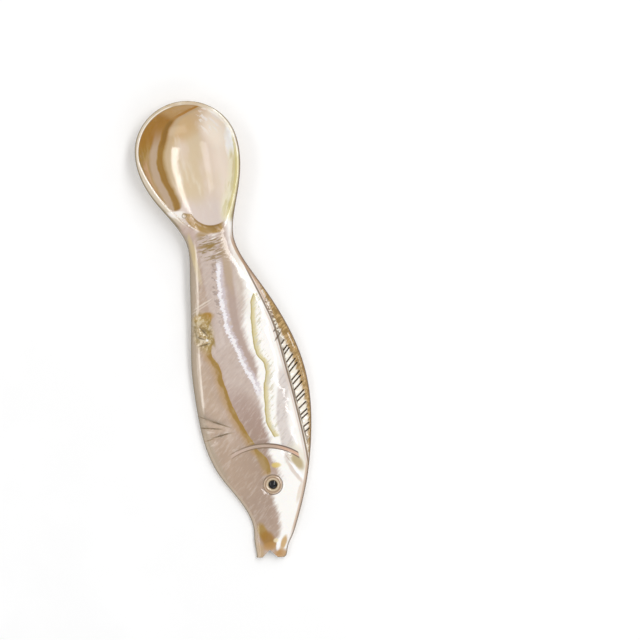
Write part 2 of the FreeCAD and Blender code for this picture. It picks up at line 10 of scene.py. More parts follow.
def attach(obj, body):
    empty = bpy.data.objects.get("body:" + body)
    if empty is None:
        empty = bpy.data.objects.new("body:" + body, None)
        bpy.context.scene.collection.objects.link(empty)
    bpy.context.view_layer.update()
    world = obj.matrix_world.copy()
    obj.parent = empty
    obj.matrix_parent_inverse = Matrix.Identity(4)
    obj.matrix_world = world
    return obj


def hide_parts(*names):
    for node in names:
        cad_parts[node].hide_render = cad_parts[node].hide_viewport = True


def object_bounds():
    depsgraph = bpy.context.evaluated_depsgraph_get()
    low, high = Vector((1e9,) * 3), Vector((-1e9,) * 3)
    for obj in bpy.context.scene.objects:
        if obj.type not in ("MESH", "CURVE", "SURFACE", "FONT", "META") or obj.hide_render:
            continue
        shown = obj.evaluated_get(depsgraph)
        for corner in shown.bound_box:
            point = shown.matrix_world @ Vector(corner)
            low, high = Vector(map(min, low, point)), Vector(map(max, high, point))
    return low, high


bl_info = {
    "name": "Fish caviar spoon",
    "version": (1, 0, 0),
    "blender": (4, 5, 0),
    "location": "View3D > Sidebar > Spoon",
    "description": "Dresses a caviar spoon carved from mother-of-pearl in the shape of a fish",
    "category": "Object",
}

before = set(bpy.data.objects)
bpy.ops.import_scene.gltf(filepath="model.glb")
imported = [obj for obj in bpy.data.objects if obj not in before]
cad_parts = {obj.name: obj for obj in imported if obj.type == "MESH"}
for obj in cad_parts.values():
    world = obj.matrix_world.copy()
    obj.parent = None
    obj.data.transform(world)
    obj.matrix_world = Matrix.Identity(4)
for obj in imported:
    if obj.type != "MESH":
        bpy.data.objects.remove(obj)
cad_low, cad_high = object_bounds()

MM = 0.001
HALF_LENGTH = cad_high.y / MM
# The lines along the spoon are kept as curves that reach this far to each side of the middle, in mm
SIDE_REACH = 20.0


# Outer edge of the carved spoon on one side, as places along it and across it in mm
def outer_line(pick, step=2.0):
    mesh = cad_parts["spoon"].data
    crossings = {}
    for edge in mesh.edges:
        ends = [mesh.vertices[index].co / MM for index in edge.vertices]
        first, last = sorted(ends, key=lambda place: place.y)
        if last.y == first.y:
            continue
        for station in range(math.ceil(first.y / step), math.floor(last.y / step) + 1):
            share = (station * step - first.y) / (last.y - first.y)
            crossings.setdefault(station, []).append(first.x + share * (last.x - first.x))
    return [(station * step, pick(places)) for station, places in sorted(crossings.items())]


# Lines that run along the spoon, as (place along it, place across it) in mm.
# The snout is at the low end, the bowl at the high end and the back to the right.
LEFT_EDGE = outer_line(min)
RIGHT_EDGE = outer_line(max)
# Ochre growth line beside the belly: its crisp edge
FIRST_GROWTH = (
    (-37.4, 2.4), (-36.2, 2.9), (-34.8, 2.95), (-33.2, 2.6), (-31.5, 1.5), (-29.8, 0.45), (-28.0, -0.15),
    (-26.0, -1.0), (-24.0, -1.8), (-21.5, -2.6), (-18.5, -3.5), (-15.0, -4.15), (-10.5, -4.75), (-8.3, -4.9),
    (-6.8, -5.7), (-5.0, -6.25), (-3.4, -6.0), (-1.8, -5.0), (-0.8, -5.2), (0.5, -6.0), (2.0, -5.6),
    (3.2, -4.9), (4.6, -4.6), (5.4, -5.2),
)
# Paler growth line beside the back: its crisp edge
SECOND_GROWTH = (
    (-28.4, 5.4), (-27.6, 5.1), (-26.0, 4.45), (-24.0, 4.0), (-22.0, 4.1), (-19.5, 4.4), (-17.0, 4.7),
    (-15.0, 5.05), (-13.5, 5.6), (-12.0, 6.0), (-10.3, 6.05), (-9.0, 5.75), (-8.0, 5.0), (-6.7, 4.5),
    (-4.0, 4.5), (-1.0, 4.65), (2.5, 4.95), (5.0, 5.4), (7.0, 6.05), (8.2, 6.8),
)
# Pale ridge down the middle of the body, a painted highlight, and the mauve valley beside it
PEARL_RIDGE_HIGHLIGHT = (
    (-17.5, 3.3), (-15.0, 3.0), (-12.5, 2.3), (-9.0, 1.0), (-6.0, 0.4), (-3.0, -0.4), (0.0, -1.2),
    (4.0, -1.35), (9.0, -1.4), (13.0, -1.15), (16.0, -0.6), (20.0, -0.6),
)
MAUVE_VALLEY = (
    (-13.5, 3.7), (-11.0, 3.4), (-8.0, 2.8), (-5.0, 1.7), (-2.0, 1.1), (2.0, 0.9), (6.0, 1.1), (11.0, 1.3),
    (16.0, 1.2), (22.0, 0.9),
)
# Where the white side towards the back begins: the shell's own white, with painted sheen over it
WHITE_SHEEN_SIDE = (
    (-56.5, 2.0), (-53.5, 1.8), (-51.5, 2.4), (-49.0, 2.9), (-46.0, 2.7), (-43.0, 2.2), (-41.0, 3.4),
    (-38.0, 4.8), (-35.0, 4.6), (-33.0, 3.6), (-31.0, 3.2), (-29.0, 3.8), (-27.0, 3.9), (-24.0, 3.2),
    (-20.0, 3.4), (-17.0, 3.1), (-14.0, 3.4), (-11.0, 4.2), (-8.0, 3.9), (-5.0, 3.2), (-1.0, 2.7),
    (3.0, 3.2), (7.0, 4.3), (11.0, 4.6), (14.0, 4.0), (18.0, 3.4), (24.0, 3.0),
)
# Greyer band within the white side
GREY_BAND = (
    (-36.0, 7.6), (-29.0, 7.6), (-26.0, 7.4), (-23.0, 7.6), (-20.0, 8.2), (-17.0, 9.0), (-14.5, 9.7),
    (-12.0, 10.2),
)
# Painted highlight where the bevel on the belly side ends
BEVEL_HIGHLIGHT = (
    (-30.0, -10.6), (-20.0, -10.8), (-14.8, -10.4), (-9.0, -9.8), (-2.5, -9.0), (3.0, -8.2), (8.5, -7.1),
    (12.5, -6.5), (19.0, -5.6), (24.0, -5.2),
)
# Step along the back, and where the gold-brown border of the fin strip begins
BACK_LINE = (
    (-36.5, 12.4), (-35.0, 12.45), (-32.5, 12.5), (-28.0, 12.4), (-25.0, 12.25), (-20.0, 11.95),
    (-15.0, 11.6), (-10.0, 11.15), (-5.0, 10.75), (0.0, 10.1), (5.0, 8.85), (10.0, 7.4), (14.0, 6.2),
    (18.0, 5.2), (24.0, 4.0),
)
GOLD_LINE = (
    (-33.0, 13.0), (-30.0, 13.4), (-25.0, 14.5), (-20.0, 14.6), (-15.0, 14.1), (-10.0, 13.4), (-5.0, 12.3),
    (0.0, 10.9), (5.0, 9.8), (10.0, 8.35), (15.0, 6.4),
)
# Edge of the brown layers on the wall of the bowl
BOWL_LAYER = (
    (31.0, -7.0), (33.0, -7.2), (35.0, -7.6), (37.0, -8.2), (39.0, -8.9), (41.0, -9.2), (43.0, -9.4),
    (45.0, -9.2), (47.0, -8.6), (49.0, -7.7), (51.0, -6.9), (52.5, -6.0), (53.5, -4.9), (54.2, -3.4),
    (54.9, -1.2), (55.5, 0.8), (56.2, 4.0),
)

# Outline of the hollow in plan, in mm: a pointed heel and a round nose that meet where it is widest
HOLLOW_WIDEST = 45.22
HOLLOW_HALF_WIDTH = 11.95
HOLLOW_MIDDLE = -3.15
HEEL_REACH = 21.4
NOSE_REACH = 11.65
# The heel ends this much further to the right, in mm, and its outline bends by these powers
HEEL_SHIFT = 1.8
HEEL_POWER_ACROSS = 1.5
HEEL_POWER_ALONG = 1.6

# Centres in plan (across, along) and radii, in mm
GILL_CENTRE = (0.3, -44.56)
GILL_RADIUS = 15.0
EYE_CENTRE = (2.85, -39.66)
HEEL_CENTRE = (0.3, 31.5)
WALL_TOE = (-8.4, 33.3)
RING_MARK = (-6.6, 29.8)
# Dark lines round the eye, painted shade on the walls of its cuts: radius in mm, strength
EYE_SHADE_LINES = ((1.02, 0.9), (1.82, 0.5), (2.42, 0.9))

# Darker clouds of the body: middle and half size in mm, turn in degrees, colour
DARK_CLOUDS = (
    ((0.8, -24.5), (2.2, 6.0), 20, "#A3877A"),
    ((-1.0, -39.0), (2.8, 9.0), 0, "#A38B7A"),
    ((-7.0, -34.0), (4.0, 5.0), 20, "#B39A85"),
)
# Marks that lie on one place of the body: colour, strength, middle and half size in mm, turn in degrees
BODY_MARKS = (
    # Ochre and tan round the bowl end of the first growth line, and a white dot of painted highlight
    ("#B5914C", 0.85, (-6.6, 4.2), (2.0, 0.8), 5),
    ("#A87C24", 0.9, (-5.9, 4.5), (1.0, 0.6), 0),
    ("#B59C62", 0.6, (-7.3, 0.4), (1.9, 3.6), 0),
    ("#A08650", 0.8, (-5.4, -1.4), (0.35, 1.6), 10),
    ("#FFFFFF", 0.9, (-6.7, -1.5), (0.3, 0.25), 0),
    ("#E4D4BE", 0.7, (-8.0, -1.6), (0.8, 0.5), 0),
    ("#EADFD0", 0.6, (-6.0, 7.5), (0.16, 2.0), -68),
    ("#E2D4C6", 0.5, (-6.6, 6.6), (0.14, 2.2), -68),
    # Wide ochre beside the first growth line, next to the gill line
    ("#A3864C", 0.6, (1.4, -33.4), (0.8, 2.6), 19),
    # Outer ends of three fin lines, drawn as painted groove shade
    ("#8A7358", 0.75, (-11.3, -20.25), (0.12, 0.9), 59),
    ("#6F5836", 0.8, (-11.3, -22.85), (0.14, 0.9), 75),
    ("#93795A", 0.75, (-10.8, -26.0), (0.12, 1.1), 98),
    # Yellow and cream where the gill line runs towards the back, and a white streak of painted highlight
    ("#DCC15E", 0.8, (4.6, -35.0), (0.9, 0.5), -10),
    ("#E3DCC6", 0.6, (10.2, -34.2), (1.6, 3.0), 20),
    ("#B5A070", 0.85, (9.9, -35.0), (0.8, 1.8), 24),
    ("#D8C8BC", 0.8, (8.7, -37.4), (0.45, 2.6), 26),
    ("#C2AE98", 0.8, (8.6, -35.4), (0.12, 2.2), 30),
    ("#FFFFFF", 0.9, (9.4, -37.2), (0.3, 2.2), 28),
    ("#DCCAB4", 0.6, (9.0, -42.6), (0.35, 2.0), -24),
    # Ochre layers of the snout and the lips, and a white painted highlight
    ("#A5822C", 0.85, (-1.8, -50.6), (0.9, 1.6), 10),
    ("#9E7018", 0.9, (-0.8, -52.8), (1.3, 1.7), 20),
    ("#B78A4A", 0.7, (-0.4, -54.6), (1.6, 0.8), 0),
    ("#B98A48", 0.85, (1.8, -56.9), (1.3, 1.0), 0),
    ("#C4994E", 0.85, (2.9, -54.2), (0.5, 1.4), -28),
    ("#FFFFFF", 0.9, (1.6, -54.4), (0.4, 1.2), -22),
    ("#F3E3B8", 0.7, (1.2, -53.4), (0.5, 0.4), 0),
    ("#BFA178", 0.8, (-3.3, -55.4), (0.8, 1.6), 0),
    # Tan and cream streaks of the neck
    ("#BBA488", 0.7, (1.6, 17.0), (0.8, 6.0), 0),
    ("#D2BC8C", 0.75, (-6.2, 20.6), (0.5, 3.4), 3),
    ("#D8C8A4", 0.5, (-5.9, 15.5), (0.5, 2.5), 4),
)
# Two short strokes that slipped across the step at the back, drawn as painted groove shade: middle and half
# size in mm
SLIPPED_STROKES = (((10.8, -3.6), (0.18, 1.1)), ((10.15, -2.1), (0.15, 0.35)))
SLIPPED_TURN = -43
# Painted shade in the grooves of the fin strip
GROOVE_SHADE_TONE = "#5C4A34"

# The bands of a Wave Texture lie this far apart at a scale of 1
BAND_SPACING = math.pi / 10
# Low ripples across the neck, in mm from one to the next
RIPPLE_SPACING = 0.8727

# Painted shade in the cuts: name of the attribute, rays over each face, their lean and the gap they start at
CUT_SHADE_ATTRIBUTE = "painted_cut_shade"
RAY_COUNT = 10
RAY_LEAN = 0.45
RAY_GAP = 0.02 * MM
# Corners closer than this are one corner, and edges shorter than this are left out of the merged copy
WELD_GAP = 0.004 * MM
SHORTEST_EDGE = 0.001 * MM

# The floor lies this far under the spoon, so that the two faces don't fight
FLOOR_DROP = 0.02 * MM
# Soft boxes: name, place in m, turn in degrees, width and length in m, power in W
SOFT_BOXES = (
    ("strip_box_right", (0.46, 0.42, 0.85), -22, 0.20, 1.15, 4.8),
    ("strip_box_left", (-0.55, 0.22, 0.85), 0, 0.24, 0.75, 1.2),
    ("soft_box_near", (0.20, -0.80, 0.85), 0, 0.70, 0.50, 1.2),
)
# Nearest distance that the camera sees, in m
NEAREST_SEEN = 0.01


# Linear colour of an sRGB hex value
def hex_colour(text):
    channels = [int(text[index:index + 2], 16) / 255 for index in (1, 3, 5)]
    return tuple(c / 12.92 if c <= 0.04045 else ((c + 0.055) / 1.055) ** 2.4 for c in channels)


# Colour as a node takes it, from a hex value, a setting or another node
def node_colour(colour):
    if isinstance(colour, bpy.types.NodeSocket):
        return colour
    if isinstance(colour, str):
        colour = hex_colour(colour)
    return (*colour, 1.0)


# Add one node with its settings, and its inputs as values or links
def add_node(tree, kind, settings=None, inputs=None):
    node = tree.nodes.new(kind)
    for name, value in (settings or {}).items():
        setattr(node, name, value)
    for name, value in (inputs or {}).items():
        if isinstance(value, bpy.types.NodeSocket):
            tree.links.new(value, node.inputs[name])
        else:
            node.inputs[name].default_value = value
    return node


class Pattern:
    """Patterns of a material's tree, read from the piece's own place in millimetres"""

    def __init__(self, tree):
        self.tree = tree
        coordinates = add_node(tree, "ShaderNodeTexCoord")
        self.place = add_node(tree, "ShaderNodeVectorMath", {"operation": "SCALE"},
                              {0: coordinates.outputs["Object"], "Scale": 1 / MM}).outputs[0]
        parts = add_node(tree, "ShaderNodeSeparateXYZ", None, {0: self.place})
        self.x = parts.outputs[0]
        self.y = parts.outputs[1]
        normal = add_node(tree, "ShaderNodeSeparateXYZ", None, {0: coordinates.outputs["Normal"]})
        self.facing_up = normal.outputs[2]
        # Place along the spoon, from 0 at the snout to 1 at the nose of the bowl
        self.share = add_node(tree, "ShaderNodeMapRange", None,
                              {0: self.y, 1: -HALF_LENGTH, 2: HALF_LENGTH, 3: 0.0, 4: 1.0}).outputs[0]

    # Value worked out from two others
    def maths(self, operation, first, second):
        return add_node(self.tree, "ShaderNodeMath", {"operation": operation},
                        {0: first, 1: second}).outputs[0]

    # All the masks at once
    def both(self, *masks):
        result = masks[0]
        for mask in masks[1:]:
            result = self.maths("MULTIPLY", result, mask)
        return result

    # Value that a pattern pushes to and fro by some amount
    def wobble(self, value, pattern, amount):
        push = self.maths("MULTIPLY", self.maths("SUBTRACT", pattern, 0.5), amount)
        return self.maths("ADD", value, push)

    # 0 below start to 1 above end, without a step
    def rise(self, value, start, end, low=0.0, high=1.0):
        return add_node(self.tree, "ShaderNodeMapRange", {"interpolation_type": "SMOOTHSTEP"},
                        {0: value, 1: start, 2: end, 3: low, 4: high}).outputs[0]

    def fall(self, value, start, end):
        return self.rise(value, start, end, 1.0, 0.0)

    # 1 between two values, with soft edges outside them
    def between(self, value, low, high, soft_low, soft_high):
        return self.both(self.rise(value, low - soft_low, low), self.fall(value, high, high + soft_high))

    # Millimetres to the right of a line that runs along the spoon
    def right_of(self, line, x=None):
        curve = add_node(self.tree, "ShaderNodeFloatCurve", None, {"Value": self.share})
        points = curve.mapping.curves[0].points
        for index, (along, across) in enumerate(line):
            spot = ((along + HALF_LENGTH) / (2 * HALF_LENGTH), (across + SIDE_REACH) / (2 * SIDE_REACH))
            if index < 2:
                points[index].location = spot
            else:
                points.new(*spot)
        curve.mapping.extend = "HORIZONTAL"
        curve.mapping.update()
        across = add_node(self.tree, "ShaderNodeMapRange", {"clamp": False},
                          {0: curve.outputs[0], 1: 0.0, 2: 1.0, 3: -SIDE_REACH, 4: SIDE_REACH}).outputs[0]
        return self.maths("SUBTRACT", x or self.x, across)

    # Cloudy pattern of a size in mm, longer along its own axis, which is turned from the spoon's
    def noise(self, size, longer=1.0, turn=0.0, detail=3.0, roughness=0.55, shift=0.0):
        spot = add_node(self.tree, "ShaderNodeMapping", {"vector_type": "TEXTURE"},
                        {0: self.place, 1: (shift, shift, 0.0), 2: (0.0, 0.0, math.radians(turn)),
                         3: (1.0, longer, 1.0)}).outputs[0]
        return add_node(self.tree, "ShaderNodeTexNoise", {"noise_dimensions": "3D"},
                        {"Vector": spot, "Scale": 1 / size, "Detail": detail,
                         "Roughness": roughness}).outputs[0]

    # Millimetres from an upright axis
    def away_from(self, centre):
        off_x = self.maths("SUBTRACT", self.x, centre[0])
        off_y = self.maths("SUBTRACT", self.y, centre[1])
        squared = self.maths("ADD", self.both(off_x, off_x), self.both(off_y, off_y))
        return self.maths("POWER", squared, 0.5)

    # Soft round or oval spot in plan, turned left by some degrees
    def spot(self, middle, half_size, turn=0.0, soft=0.7, x=None):
        turn = math.radians(turn)
        off_x = self.maths("SUBTRACT", x or self.x, middle[0])
        off_y = self.maths("SUBTRACT", self.y, middle[1])
        across = self.maths("ADD", self.maths("MULTIPLY", off_x, math.cos(turn) / half_size[0]),
                            self.maths("MULTIPLY", off_y, math.sin(turn) / half_size[0]))
        along = self.maths("ADD", self.maths("MULTIPLY", off_y, math.cos(turn) / half_size[1]),
                           self.maths("MULTIPLY", off_x, -math.sin(turn) / half_size[1]))
        squared = self.maths("ADD", self.both(across, across), self.both(along, along))
        return self.fall(squared, (1 - soft / 2) ** 2, (1 + soft) ** 2)

    # Lay a colour over another where a mask says
    def lay(self, under, colour, mask, strength=1.0):
        factor = mask if strength == 1.0 else self.maths("MULTIPLY", mask, strength)
        return add_node(self.tree, "ShaderNodeMix", {"data_type": "RGBA", "clamp_factor": True},
                        {0: factor, 6: node_colour(under), 7: node_colour(colour)}).outputs[2]


class ShellPattern(Pattern):
    """Patterns and lines that the regions of the shell share"""

    def __init__(self, tree):
        super().__init__(tree)
        # The real fibres are too fine for the render, and are drawn half a millimetre wide so that they show
        self.fibre = self.noise(0.55, 5.0, -50.0, detail=5, roughness=0.65)
        self.cloud = self.noise(7.0, 2.5, 8.0, detail=4)
        # Places across the spoon that wander, and that the fibres comb, so that no line is drawn too smooth
        self.near_x = self.wobble(self.x, self.noise(2.6), 0.7)
        self.comb_x = self.wobble(self.near_x, self.fibre, self.rise(self.y, 8.0, 18.0, 2.2, 0.5))
        self.from_left = self.right_of(LEFT_EDGE)
        self.from_right = self.right_of(RIGHT_EDGE)
        self.from_back = self.right_of(BACK_LINE)


def new_material(name):
    material = bpy.data.materials.new(name)
    material.use_nodes = True
    tree = material.node_tree
    tree.nodes.clear()
    shader = add_node(tree, "ShaderNodeBsdfPrincipled")
    add_node(tree, "ShaderNodeOutputMaterial", None, {0: shader.outputs[0]})
    return material, tree, shader


# Ground of the body: mauve-brown depths under clouds and fibres
def body_ground(p, pearl):
    colour = p.lay(pearl, "#C6AFA4", p.rise(p.cloud, 0.38, 0.62))
    first = p.right_of(FIRST_GROWTH)
    colour = p.lay(colour, "#C3AC93", p.fall(first, -4.5, -1.0), 0.55)
    colour = p.lay(colour, "#C9B8AE", p.both(p.rise(p.y, -30.0, -20.0), p.rise(first, 0.0, 0.8)), 0.8)
    colour = p.lay(colour, "#DDD0C8", p.rise(p.noise(4.0, 3.5, 6.0, shift=40.0), 0.54, 0.72), 0.45)
    for middle, half_size, turn, tone in DARK_CLOUDS:
        colour = p.lay(colour, tone, p.spot(middle, half_size, turn, 1.2), 0.75)
    colour = p.lay(colour, "#DDD0C4", p.rise(p.fibre, 0.48, 0.68), 0.3)
    colour = p.lay(colour, "#A48D7E", p.fall(p.fibre, 0.34, 0.5), 0.22)
    belly_side = p.both(p.fall(p.from_left, 1.2, 2.4), p.between(p.y, -33.0, 24.0, 6.0, 2.0))
    colour = p.lay(colour, "#B3A38D", belly_side, 0.75)
    valley = p.between(p.right_of(MAUVE_VALLEY, p.near_x), -0.5, 0.6, 0.8, 0.8)
    return p.lay(colour, "#B39C90", p.both(valley, p.between(p.y, -12.0, 21.0, 3.0, 4.0)), 0.85)


# White side towards the back, the shell's own white with painted sheen over it, with its grey band, and the
# pale ridge beside it: a painted highlight, with painted shade in teeth on one side
def white_and_sheen_side(p, colour, sheen):
    colour = p.lay(colour, sheen, p.rise(p.right_of(WHITE_SHEEN_SIDE, p.comb_x), -0.8, 1.0))
    olive_white = p.both(p.spot((4.4, 11.0), (1.1, 6.0)), p.rise(p.cloud, 0.3, 0.6))
    colour = p.lay(colour, "#D8CCBC", olive_white, 0.8)
    beside_line = p.between(p.right_of(GREY_BAND, p.near_x), -0.4, 1.3, 0.8, 1.5)
    grey = p.both(beside_line, p.between(p.y, -33.0, -13.0, 3.0, 3.0))
    colour = p.lay(colour, "#DAD0CA", grey, 0.9)
    colour = p.lay(colour, "#BDB2AC", p.both(grey, p.rise(p.fibre, 0.5, 0.62)), 0.5)

    # The real teeth of the ridge are finer, and are drawn half a millimetre wide so that they show
    teeth = p.noise(0.5, 2.5, 65.0, detail=2, shift=14.0)
    ridge = p.right_of(PEARL_RIDGE_HIGHLIGHT, p.wobble(p.comb_x, teeth, 1.3))
    # Painted shade in teeth beside the ridge's painted highlight, near the neck
    shaded_teeth = p.both(p.between(ridge, -1.3, -0.4, 0.4, 0.3), p.rise(teeth, 0.48, 0.58))
    colour = p.lay(colour, "#9F8C82", p.both(shaded_teeth, p.between(p.y, 4.0, 17.0, 4.0, 3.0)), 0.7)
    ridge_highlight_reach = p.between(p.y, -15.5, 15.0, 3.0, 4.0)
    colour = p.lay(colour, "#D3C9CF", p.both(p.between(ridge, -0.3, 0.9, 0.4, 0.6), ridge_highlight_reach), 0.7)
    return p.lay(colour, "#F3EFF0", p.both(p.between(ridge, -0.2, 0.25, 0.35, 0.5), ridge_highlight_reach), 0.95)


# Two growth lines, crisp on one side and ragged on the other, and the painted highlight along the bevel
def growth_lines(p, colour, ochre):
    first = p.right_of(FIRST_GROWTH, p.near_x)
    first_reach = p.between(p.y, -36.6, 4.4, 0.8, 0.9)
    colour = p.lay(colour, "#B8935A", p.both(p.between(first, -1.0, 0.0, 2.0, 0.15), first_reach), 0.65)
    clumps = p.noise(1.4, 2.5, 15.0, detail=4, shift=71.0)
    ragged = p.rise(p.wobble(first, clumps, 4.0), -1.5, -0.4)
    core = p.both(ragged, p.fall(first, -0.05, 0.1), first_reach)
    colour = p.lay(colour, ochre, core, 0.9)
    colour = p.lay(colour, "#B39A5E", p.both(core, p.fall(clumps, 0.36, 0.5)), 0.6)

    second = p.right_of(SECOND_GROWTH, p.near_x)
    second_reach = p.between(p.y, -27.9, 7.6, 0.4, 0.5)
    fibrous = p.fall(p.wobble(second, p.fibre, 2.4), 0.6, 1.7)
    colour = p.lay(colour, "#D9CC9E", p.both(p.rise(second, 0.0, 0.15), fibrous, second_reach))
    colour = p.lay(colour, "#AE9C5E", p.both(p.between(second, 0.08, 0.2, 0.1, 0.35), second_reach), 0.75)
    hatch = p.both(p.between(second, 0.6, 2.0, 0.3, 1.0), second_reach, p.rise(p.fibre, 0.5, 0.6))
    colour = p.lay(colour, "#CFC7AC", hatch, 0.75)

    bevel_highlight_line = p.between(p.right_of(BEVEL_HIGHLIGHT), -0.1, 0.1, 0.25, 0.25)
    return p.lay(colour, "#EBDDCC", p.both(bevel_highlight_line, p.between(p.y, -17.5, 20.0, 3.0, 4.0)), 0.75)


# Marks of the body, the mottled patch beside the belly and the scratches at the neck
def body_marks(p, colour):
    for tone, strength, middle, half_size, turn in BODY_MARKS:
        colour = p.lay(colour, tone, p.spot(middle, half_size, turn, x=p.near_x), strength)

    mottle = p.noise(0.7, 1.6, -40.0, shift=33.0)
    mottled = p.spot((-7.4, 0.6), (2.2, 4.2), soft=0.5)
    colour = p.lay(colour, "#E0D4B4", p.both(mottled, p.rise(mottle, 0.5, 0.6)), 0.55)
    colour = p.lay(colour, "#8C7434", p.both(mottled, p.fall(mottle, 0.4, 0.48)), 0.6)

    # Real scratches are hair-thin, and are drawn near half a millimetre wide so that they show
    scratches = p.noise(0.45, 6.0, -80.0, detail=2, shift=52.0)
    scratched = p.spot((-1.7, 21.2), (2.4, 3.2))
    colour = p.lay(colour, "#8C7238", p.both(scratched, p.rise(scratches, 0.48, 0.58)), 0.8)
    bright = p.both(scratched, p.fall(scratches, 0.36, 0.44), p.rise(p.x, -2.5, -0.5))
    colour = p.lay(colour, "#F0E9DF", bright, 0.8)
    frayed_y = p.maths("ADD", p.y, p.maths("MULTIPLY", scratches, 0.6))
    longest = p.both(scratched, p.between(frayed_y, 21.4, 21.9, 0.3, 0.3), p.fall(p.x, -1.0, 0.0))
    return p.lay(colour, "#957634", longest, 0.8)


# Gill line and eye: ground a little deeper, so that tan layers show between edges of painted shade, with
# painted highlights in the cuts
def head_cuts(p, colour):
    from_gill = p.away_from(GILL_CENTRE)
    gill_reach = p.both(p.between(p.x, -5.4, 10.3, 1.2, 0.4), p.rise(p.y, -36.0, -35.0))
    gouge = p.between(from_gill, GILL_RADIUS - 0.4, GILL_RADIUS + 0.4, 0.15, 0.15)
    colour = p.lay(colour, "#C9B1A1", p.both(gouge, gill_reach))
    # Peach painted highlight on the bottom of the gill, towards the back
    bottom_highlight = p.between(from_gill, GILL_RADIUS - 0.2, GILL_RADIUS + 0.2, 0.2, 0.2)
    colour = p.lay(colour, "#DDB497", p.both(bottom_highlight, gill_reach, p.rise(p.x, 3.0, 8.0)), 0.8)
    # Painted shade on the walls of the gill cut, darker towards the back where it is deepest
    wall_shade_tone = p.lay("#8F775F", "#523626", p.rise(p.x, 2.0, 8.0))
    outer_wall_shade = p.between(from_gill, GILL_RADIUS + 0.4, GILL_RADIUS + 0.52, 0.12, 0.2)
    colour = p.lay(colour, wall_shade_tone, p.both(outer_wall_shade, gill_reach), 0.85)
    inner_wall_shade = p.between(from_gill, GILL_RADIUS - 0.52, GILL_RADIUS - 0.42, 0.2, 0.12)
    colour = p.lay(colour, wall_shade_tone, p.both(inner_wall_shade, gill_reach), 0.75)

    from_eye = p.away_from(EYE_CENTRE)
    # Tan of the flat dish, painted as its darker reflection, and a cream painted highlight round the pit
    colour = p.lay(colour, "#BDA286", p.fall(from_eye, 2.15, 2.4))
    colour = p.lay(colour, "#D6C6A8", p.between(from_eye, 1.25, 1.5, 0.15, 0.2), 0.6)
    # Painted shade in the eye's ring and on the walls of its dish and pit
    for radius, strength in EYE_SHADE_LINES:
        line = p.between(from_eye, radius - 0.06, radius + 0.06, 0.1, 0.12)
        colour = p.lay(colour, "#6E5442", line, strength)
    return colour


# Fin strip along the back: a dark line of painted shade at the step, a pink painted highlight beside it, a
# white inner face and a gold-brown border
def strip_colour(p, colour):
    back = p.from_back
    inner_face = p.both(p.rise(back, 0.0, 0.15), p.fall(p.y, 0.0, 3.0), p.rise(p.y, -36.0, -35.0))
    colour = p.lay(colour, "#F6EEE0", inner_face)
    streaks = p.noise(0.5, 3.5, -60.0, detail=4, roughness=0.65)
    gold_brown = p.lay("#94743C", "#C4A26C", p.rise(streaks, 0.42, 0.62))
    border = p.rise(p.right_of(GOLD_LINE, p.comb_x), -0.4, 0.4)
    colour = p.lay(colour, gold_brown, p.both(border, p.between(p.y, -33.0, 22.0, 1.5, 3.0)))
    # Pink painted highlight beside the step
    pink_highlight = p.both(p.between(back, 0.45, 0.75, 0.2, 0.2), p.rise(p.y, 0.0, 3.0), p.fall(p.y, 11.0, 13.0))
    colour = p.lay(colour, "#E2BFA4", pink_highlight, 0.8)
    speckled = p.both(p.between(back, 0.35, 0.8, 0.2, 0.25), p.between(p.y, -3.0, 5.5, 0.5, 1.0))
    speckles = p.noise(0.45, detail=2)
    colour = p.lay(colour, "#6F5636", p.both(speckled, p.rise(speckles, 0.5, 0.56)), 0.85)
    colour = p.lay(colour, "#FFF9E6", p.both(speckled, p.fall(speckles, 0.42, 0.47)), 0.85)
    # Dark line of painted shade at the step
    step_shade_line = p.both(p.between(back, -0.08, 0.2, 0.2, 0.15), p.between(p.y, -36.0, 14.0, 1.5, 9.0))
    colour = p.lay(colour, "#7E654A", step_shade_line, 0.9)
    grey_line = p.both(p.between(back, -0.6, -0.4, 0.25, 0.2), p.between(p.y, -34.0, 2.0, 4.0, 3.0))
    colour = p.lay(colour, "#E3D2C6", grey_line, 0.8)
    # The two slipped strokes, as painted groove shade
    for middle, half_size in SLIPPED_STROKES:
        colour = p.lay(colour, GROOVE_SHADE_TONE, p.spot(middle, half_size, SLIPPED_TURN), 0.85)
    return colour


# Level over the hollow in plan: below 1 inside it, 1 on its outline and above 1 outside
def hollow_level(p):
    to_heel = p.maths("DIVIDE", p.maths("SUBTRACT", HOLLOW_WIDEST, p.y), HEEL_REACH)
    step = p.maths("MAXIMUM", to_heel, 0.0)
    middle = p.maths("ADD", p.maths("MULTIPLY", step, HEEL_SHIFT), HOLLOW_MIDDLE)
    off_middle = p.maths("ABSOLUTE", p.maths("SUBTRACT", p.x, middle), 0.0)
    across = p.maths("DIVIDE", off_middle, HOLLOW_HALF_WIDTH)
    bent_across = p.maths("POWER", across, HEEL_POWER_ACROSS)
    heel_level = p.maths("ADD", bent_across, p.maths("POWER", step, HEEL_POWER_ALONG))
    ahead = p.maths("MINIMUM", p.maths("MULTIPLY", to_heel, HEEL_REACH / NOSE_REACH), 0.0)
    nose_level = p.maths("ADD", p.both(across, across), p.both(ahead, ahead))
    is_heel = p.maths("GREATER_THAN", to_heel, 0.0)
    is_nose = p.maths("SUBTRACT", 1.0, is_heel)
    return p.maths("ADD", p.both(heel_level, is_heel), p.both(nose_level, is_nose))


# Cream land of the rim, with a painted highlight along its inner edge towards the belly
def rim_land(p, level):
    land = p.lay("#E4D9C9", "#F0E8DA", p.rise(p.noise(2.0), 0.4, 0.6))
    land = p.lay(land, "#CDBFA8", p.fall(p.x, -8.0, -3.0), 0.9)
    land = p.lay(land, "#BFA67E", p.both(p.rise(p.y, 53.5, 56.0), p.rise(p.cloud, 0.3, 0.6)), 0.7)
    # Painted highlight along the inner edge towards the belly
    return p.lay(land, "#EFE5D6", p.both(p.between(level, 1.0, 1.04, 0.01, 0.03), p.fall(p.x, -6.0, -4.0)))
